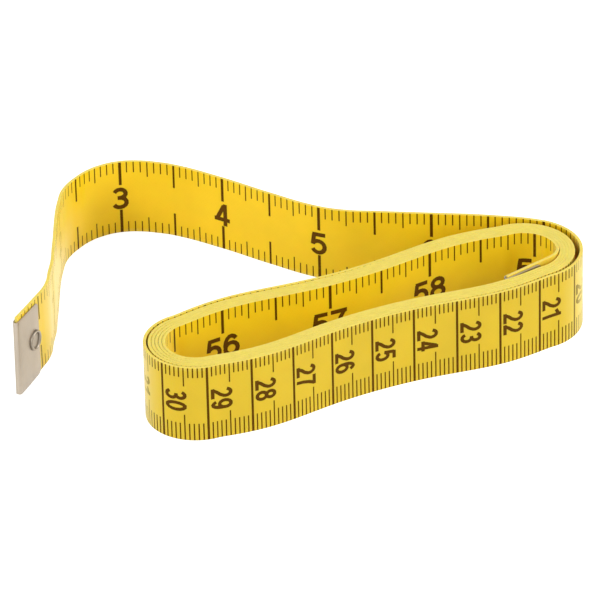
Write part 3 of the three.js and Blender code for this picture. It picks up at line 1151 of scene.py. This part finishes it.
class TAPE_OT_clips(bpy.types.Operator):
    """Fold a metal clip over each end of the tape"""

    bl_idname = "tape_measure.clips"
    bl_label = "End Clips"

    def execute(self, context):
        metal = plated_metal_material("clip_plating", context.scene.clips.metal, shade=1.0)
        tail = folded_clip("tail_clip", tip=0.0, inward=1.0)
        slant_end(tail, reach=2 * context.scene.clips.length)
        inner = folded_clip("inner_clip", tip=route_length(), inward=-1.0)
        fasten(tail, inner, metal, ("tail_end_clip", "inner_end_clip"))
        return {"FINISHED"}


def end_rivet(name, tip, inward):
    """A rivet through a clip: a shank with a round dished head on each face."""
    tape, clips = bpy.context.scene.tape, bpy.context.scene.clips
    seat = clip_offset() + clips.sheet / 2 + HEAD_CLEARANCE
    bpy.ops.object.select_all(action="DESELECT")
    bpy.ops.mesh.primitive_cylinder_add(vertices=RIVET_STEPS, radius=clips.shank / 2, depth=2 * seat)
    rivet = bpy.context.active_object
    rivet.name = name
    profile = [
        (size / 2 * share, rise, dark)
        for size, rings in ((clips.head, HEAD_RINGS), (clips.dish, DISH_RINGS))
        for share, rise, dark in rings
    ]
    with editing(rivet):
        for way in (1.0, -1.0):
            pick(rivet, "FACE", lambda face: face.normal.z * way > FACING and face.verts[0].co.z * way > 0.0)
            radius, rise = clips.shank / 2, 0.0
            for next_radius, next_rise, _ in profile:
                step = way * clips.head_height * (next_rise - rise)
                scale = next_radius / radius
                bpy.ops.mesh.extrude_region_move(TRANSFORM_OT_translate={"value": (0.0, 0.0, step)})
                bpy.ops.transform.resize(value=(scale, scale, 1.0))
                radius, rise = next_radius, next_rise
        face_outwards()
    # Painted shade: each point takes the darkening of the ring whose radius is nearest its own, so the
    # head's foot, outer wall and the hollow's wall come out dark
    painted_shade = rivet.data.attributes.new("painted_shade", "FLOAT", "POINT")
    for vert in rivet.data.vertices:
        radius = vert.co.xy.length
        painted_shade.data[vert.index].value = min(profile, key=lambda ring: abs(ring[0] - radius))[2]
    rivet.data.transform(
        Matrix.Translation((clips.length - clips.setback, 0.0, tape.width / 2))
        @ Matrix.Rotation(math.pi / 2, 4, "X"))
    set_at_end(rivet, tip, inward)
    return rivet


class TAPE_OT_rivets(bpy.types.Operator):
    """Set a rivet through each end clip"""

    bl_idname = "tape_measure.rivets"
    bl_label = "Rivets"

    def execute(self, context):
        metal = plated_metal_material("rivet_plating", context.scene.clips.metal, shade=0.9)
        tail = end_rivet("tail_rivet", tip=0.0, inward=1.0)
        inner = end_rivet("inner_rivet", tip=route_length(), inward=-1.0)
        fasten(tail, inner, metal, ("tail_end_rivet", "inner_end_rivet"), RIVET_SMOOTH_ANGLE)
        return {"FINISHED"}


def looked_at(tree):
    """1 where the camera sees a surface, mirrored and through glass too, and 0 where it only gives light."""
    path = add_node(tree, "ShaderNodeLightPath")
    seen = math_node(tree, "MAXIMUM", path.outputs["Is Camera Ray"], path.outputs["Is Glossy Ray"])
    return math_node(tree, "MAXIMUM", seen, path.outputs["Is Transmission Ray"])


def floor_material(colour):
    """A pale floor that the camera sees as white apart from the shadow."""
    material, tree, shader = new_material("stage_floor")
    shader.inputs["Base Color"].default_value = tuple(colour) + (1.0,)
    shader.inputs["Roughness"].default_value = 0.9
    shader.inputs["Specular IOR Level"].default_value = 0.0
    output = tree.nodes["Material Output"]
    glow = math_node(tree, "MULTIPLY", looked_at(tree), FLOOR_GLOW)
    light = add_node(tree, "ShaderNodeEmission", {"Color": WHITE, "Strength": glow})
    both = add_node(tree, "ShaderNodeAddShader", {0: shader.outputs["BSDF"], 1: light.outputs["Emission"]})
    tree.links.new(both.outputs["Shader"], output.inputs["Surface"])
    return material


def add_lamp(name, place, size, power):
    """A large soft lamp aimed at the tape."""
    bpy.ops.object.light_add(type="AREA", location=place)
    lamp = bpy.context.active_object
    lamp.name = name
    lamp.data.size = size
    lamp.data.energy = power
    aim = Vector(LAMP_TARGET) - Vector(place)
    lamp.rotation_euler = aim.to_track_quat("-Z", "Y").to_euler()


class TAPE_OT_stage(bpy.types.Operator):
    """Set up the floor, the light and the camera"""

    bl_idname = "tape_measure.stage"
    bl_label = "Stage"

    def execute(self, context):
        scene = context.scene
        stage = scene.stage
        bpy.ops.object.select_all(action="DESELECT")
        bpy.ops.mesh.primitive_plane_add(size=FLOOR_SIZE, location=(0.0, 0.0, -FLOOR_DROP))
        floor = context.active_object
        floor.name = "stage_floor"
        bpy.ops.object.transform_apply(location=True, rotation=True, scale=True)
        floor.data.materials.append(floor_material(stage.floor))
        world = bpy.data.worlds.new("stage_world")
        world.use_nodes = True
        tree = world.node_tree
        around = tree.nodes["Background"]
        around.inputs["Strength"].default_value = stage.sky
        around.inputs["Color"].default_value = WHITE
        seen = add_node(tree, "ShaderNodeBackground", {"Color": WHITE, "Strength": 1.0})
        mixed = add_node(tree, "ShaderNodeMixShader", {
            0: looked_at(tree), 1: around.outputs["Background"], 2: seen.outputs["Background"]})
        tree.links.new(mixed.outputs["Shader"], tree.nodes["World Output"].inputs["Surface"])
        scene.world = world
        add_lamp("key_lamp", KEY_PLACE, KEY_SIZE, stage.key)
        add_lamp("fill_lamp", FILL_PLACE, FILL_SIZE, stage.fill)
        heading, rise, roll = (math.radians(v) for v in (CAMERA_HEADING, CAMERA_ELEVATION, CAMERA_ROLL))
        ahead = Vector((
            math.sin(heading) * math.cos(rise), math.cos(heading) * math.cos(rise), -math.sin(rise)))
        level = Vector((math.cos(heading), -math.sin(heading), 0.0))
        above = level.cross(ahead)
        right = math.cos(roll) * level + math.sin(roll) * above
        up = -math.sin(roll) * level + math.cos(roll) * above
        bpy.ops.object.camera_add()
        camera = context.active_object
        camera.name = "photo_camera"
        camera.data.lens = CAMERA_LENS
        camera.data.sensor_width = CAMERA_SENSOR
        camera.data.clip_end = CAMERA_REACH
        matrix = Matrix((right, up, -ahead)).transposed().to_4x4()
        matrix.translation = Vector(CAMERA_TARGET) - CAMERA_DISTANCE * ahead
        camera.matrix_world = matrix
        scene.camera = camera
        scene.view_settings.view_transform = "Standard"
        return {"FINISHED"}


class TAPE_PT_panel(bpy.types.Panel):
    """Sizes, colours and pieces of the tape measure"""

    bl_idname = "TAPE_PT_panel"
    bl_label = "Tape Measure"
    bl_space_type = "VIEW_3D"
    bl_region_type = "UI"
    bl_category = "Tape Measure"

    def draw(self, context):
        for name, group, operators in PANEL_ROWS:
            box = self.layout.box()
            box.label(text=name)
            settings = getattr(context.scene, group)
            for field in settings.__annotations__:
                box.prop(settings, field)
            for operator in operators:
                box.operator(operator.bl_idname)


PANEL_ROWS = (
    ("Tape", "tape", (TAPE_OT_tape,)),
    ("Scales", "scales", (TAPE_OT_inch_scale, TAPE_OT_cm_scale)),
    ("Clips and Rivets", "clips", (TAPE_OT_clips, TAPE_OT_rivets)),
    ("Stage", "stage", (TAPE_OT_stage,)),
)

SETTINGS = (
    ("tape", TapeSettings),
    ("scales", ScaleSettings),
    ("clips", ClipSettings),
    ("stage", StageSettings),
)

CLASSES = (
    TapeSettings, ScaleSettings, ClipSettings, StageSettings,
    TAPE_OT_stage, TAPE_OT_tape, TAPE_OT_inch_scale, TAPE_OT_cm_scale, TAPE_OT_clips, TAPE_OT_rivets,
    TAPE_PT_panel,
)


def register():
    for cls in CLASSES:
        bpy.utils.register_class(cls)
    for name, cls in SETTINGS:
        setattr(bpy.types.Scene, name, bpy.props.PointerProperty(type=cls))


def unregister():
    for name, _ in SETTINGS:
        delattr(bpy.types.Scene, name)
    for cls in reversed(CLASSES):
        bpy.utils.unregister_class(cls)


def main():
    register()
    bpy.ops.tape_measure.stage()
    bpy.ops.tape_measure.tape()
    bpy.ops.tape_measure.inch_scale()
    bpy.ops.tape_measure.cm_scale()
    bpy.ops.tape_measure.clips()
    bpy.ops.tape_measure.rivets()


if __name__ == "__main__":
    main()
